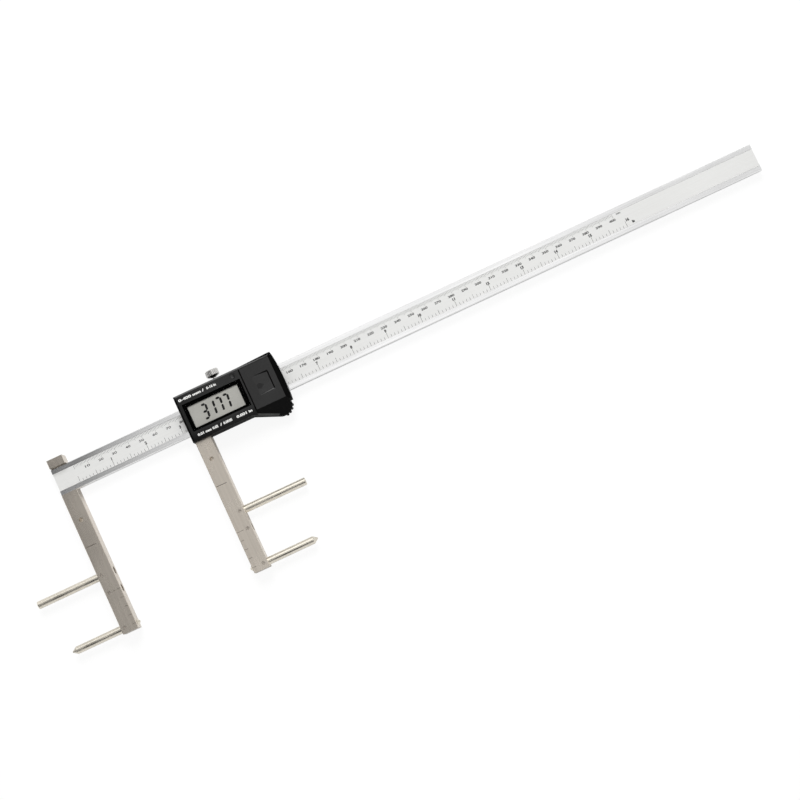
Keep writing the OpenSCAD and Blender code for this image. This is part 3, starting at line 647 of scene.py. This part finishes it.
def cover_arrow():
    deep = cover_high.x - RECESS_INSET
    middle = display_y - ARROW_DROP
    tip = deep - ARROW_TIP
    root, neck = tip - ARROW_LEN, tip - ARROW_HEAD
    root_half = ARROW_HALF * ARROW_ROOT_SHARE
    outline = [(root, middle - root_half), (neck, middle - ARROW_HALF), (tip, middle),
               (neck, middle + ARROW_HALF), (root, middle + root_half)]

    def floor(point):
        return cover_high.z - RECESS_DEPTH * (point[0] - deep + RECESS_LEN) / (RECESS_LEN - RECESS_DEPTH)

    bm = bmesh.new()
    add_prism(bm, outline, floor, lambda point: floor(point) + INK)
    new_piece("cover_arrow", bm, ink("arrow_ink", (0.012, 0.012, 0.012)), COVER_BODY)


# Thin dark lines in place of the marks engraved in the arms

MARK_W = 0.22 * MM
LONG_MARK_W = 0.36 * MM
MARK_INSET = 0.4 * MM
LONG_MARK_SHARE = 0.72
SHORT_MARK_REACH = 3 * MM
LONG_MARK_Y = -48.6 * MM
HALF_MARK_Y = -82.3 * MM
SHORT_MARK_Y = [-88.5 * MM, -94.9 * MM, -101.3 * MM, -107.7 * MM]


def arm_marks(name, low, high, body, away):
    """Marks on one arm. away is 1 where the side opposite the pins faces +X, and -1 where it faces -X."""
    bm = bmesh.new()
    z = high.z
    width, middle = high.x - low.x, (low.x + high.x) / 2
    edge = high.x if away > 0 else low.x

    def mark(x0, x1, y, thickness=MARK_W):
        outline = rectangle(min(x0, x1), y - thickness / 2, max(x0, x1), y + thickness / 2)
        add_prism(bm, outline, z, z + INK)

    mark(low.x + MARK_INSET, low.x + LONG_MARK_SHARE * width, LONG_MARK_Y, LONG_MARK_W)
    mark(middle, edge - away * MARK_INSET, HALF_MARK_Y)
    for y in SHORT_MARK_Y:
        mark(edge - away * SHORT_MARK_REACH, edge - away * MARK_INSET, y)
    new_piece(name, bm, ink(name + "_ink", (0.09, 0.075, 0.06)), body)


# Camera, light and floor


def place_camera():
    camera = bpy.data.objects.new("camera", bpy.data.cameras.new("camera"))
    camera.data.lens = CAMERA_LENS
    camera.data.sensor_width = CAMERA_SENSOR
    tilt = Matrix.Rotation(CAMERA_TILT_X, 4, "X") @ Matrix.Rotation(CAMERA_TILT_Y, 4, "Y")
    turn = Matrix.Rotation(CAMERA_TURN, 4, "Z")
    camera.matrix_world = Matrix.Translation(CAMERA_PLACE) @ tilt @ turn
    bpy.context.scene.collection.objects.link(camera)
    bpy.context.scene.camera = camera


def add_lamp(name, place, target, size, power):
    lamp = bpy.data.objects.new(name, bpy.data.lights.new(name, "AREA"))
    lamp.data.size = size
    lamp.data.energy = power
    lamp.location = place
    lamp.rotation_euler = (Vector(target) - Vector(place)).to_track_quat("-Z", "Y").to_euler()
    lamp.visible_glossy = False
    bpy.context.scene.collection.objects.link(lamp)


# The sky that gloss reflects is bright overhead and a little less so near the horizon. Round flags and
# one soft box hang in it: their direction, outer and inner angle, and the level inside.
SKY_FILL = 0.42
SKY_BRIGHT = 1.03
HORIZON_LEVEL = 0.8
HORIZON_ANGLES = (25, 50)
SKY_PATCHES = [
    ((-0.467, 0.233, 0.88), 23.6, 18.7, 0.08),
    ((0.403, -0.019, 0.82), 21.4, 14.3, 0.59),
    ((-0.3, -0.5, 0.93), 31, 16, 0.05),
    ((-1, 0, 0.1), 80, 20, 0.28),
    ((0.26, 0.65, 0.75), 26.3, 11.9, 2.1),
]


def sine(degrees):
    return math.sin(math.radians(degrees))


def light_sky():
    world = bpy.data.worlds.new("studio")
    world.use_nodes = True
    bpy.context.scene.world = world
    sky = Nodes(world.node_tree)
    background = sky.tree.nodes["Background"]
    background.inputs["Color"].default_value = (1, 1, 1, 1)
    path = sky.add("LightPath").outputs
    way = sky.add("TexCoord").outputs["Generated"]

    height = sky.cosine(way, (0, 0, 1))
    rising = sky.ranged(height, HORIZON_LEVEL, 1, *map(sine, HORIZON_ANGLES), smooth=True)
    reflected = sky.maths("MULTIPLY", rising, SKY_BRIGHT)
    for direction, outer, inner, level in SKY_PATCHES:
        cosine = sky.cosine(way, Vector(direction).normalized())
        patch = sky.ranged(cosine, 1, level, sine(90 - outer), sine(90 - inner), smooth=True)
        reflected = sky.maths("MULTIPLY", reflected, patch)

    extra = sky.maths("MULTIPLY", sky.maths("SUBTRACT", reflected, SKY_FILL), path["Is Glossy Ray"])
    white = sky.maths("MAXIMUM", path["Is Camera Ray"], path["Is Transmission Ray"])
    strength = sky.maths("MAXIMUM", sky.maths("ADD", extra, SKY_FILL), white)
    sky.link(strength, background.inputs["Strength"])


# The floor's colour and glow as the other surfaces see them, and as the camera does
FLOOR_DROP = 0.05 * MM
FLOOR_HALF = 4.0
FLOOR_TONE = 0.86
FLOOR_GLOW = 0.12
FLOOR_SEEN_TONE = 0.16
FLOOR_SEEN_GLOW = 0.89


def lay_floor():
    bm = bmesh.new()
    outline = rectangle(-FLOOR_HALF, -FLOOR_HALF, FLOOR_HALF, FLOOR_HALF)
    bm.faces.new([bm.verts.new((*p, -FLOOR_DROP)) for p in outline])
    mesh = bpy.data.meshes.new("floor")
    bm.to_mesh(mesh)
    bm.free()
    floor = bpy.data.objects.new("floor", mesh)
    bpy.context.scene.collection.objects.link(floor)
    shader = Shader("floor", (FLOOR_TONE, FLOOR_TONE, FLOOR_TONE), 0.9, specular=0.0)
    seen = shader.add("LightPath").outputs["Is Camera Ray"]
    tone = shader.ranged(seen, FLOOR_TONE, FLOOR_SEEN_TONE, 0, 1)
    tint = shader.add("CombineColor")
    for channel in ("Red", "Green", "Blue"):
        shader.link(tone, tint.inputs[channel])
    shader.link(tint.outputs["Color"], shader.surface.inputs["Base Color"])
    shader.surface.inputs["Emission Color"].default_value = (1, 1, 1, 1)
    glow = shader.ranged(seen, FLOOR_GLOW, FLOOR_SEEN_GLOW, 0, 1)
    shader.link(glow, shader.surface.inputs["Emission Strength"])
    mesh.materials.append(shader.material)


# The key lamp's place, the point that it is turned to, its side in metres and its power in watts
KEY_PLACE = (350 * MM, 950 * MM, 1150 * MM)
KEY_TARGET = (200 * MM, -30 * MM, 0)
KEY_SIZE = 0.8
KEY_POWER = 15


def light_scene():
    add_lamp("key", KEY_PLACE, KEY_TARGET, KEY_SIZE, KEY_POWER)
    light_sky()
    lay_floor()
    bpy.context.scene.view_settings.view_transform = "Standard"


place_camera()
light_scene()
finish_frame()
printed_scale()
display_numerals()
housing_print()
button_dish()
cover_arrow()
arm_marks("fixed_arm_marks", fixed_low, fixed_high, BEAM_BODY, 1)
arm_marks("sliding_arm_marks", sliding_low, sliding_high, SLIDER_BODY, -1)
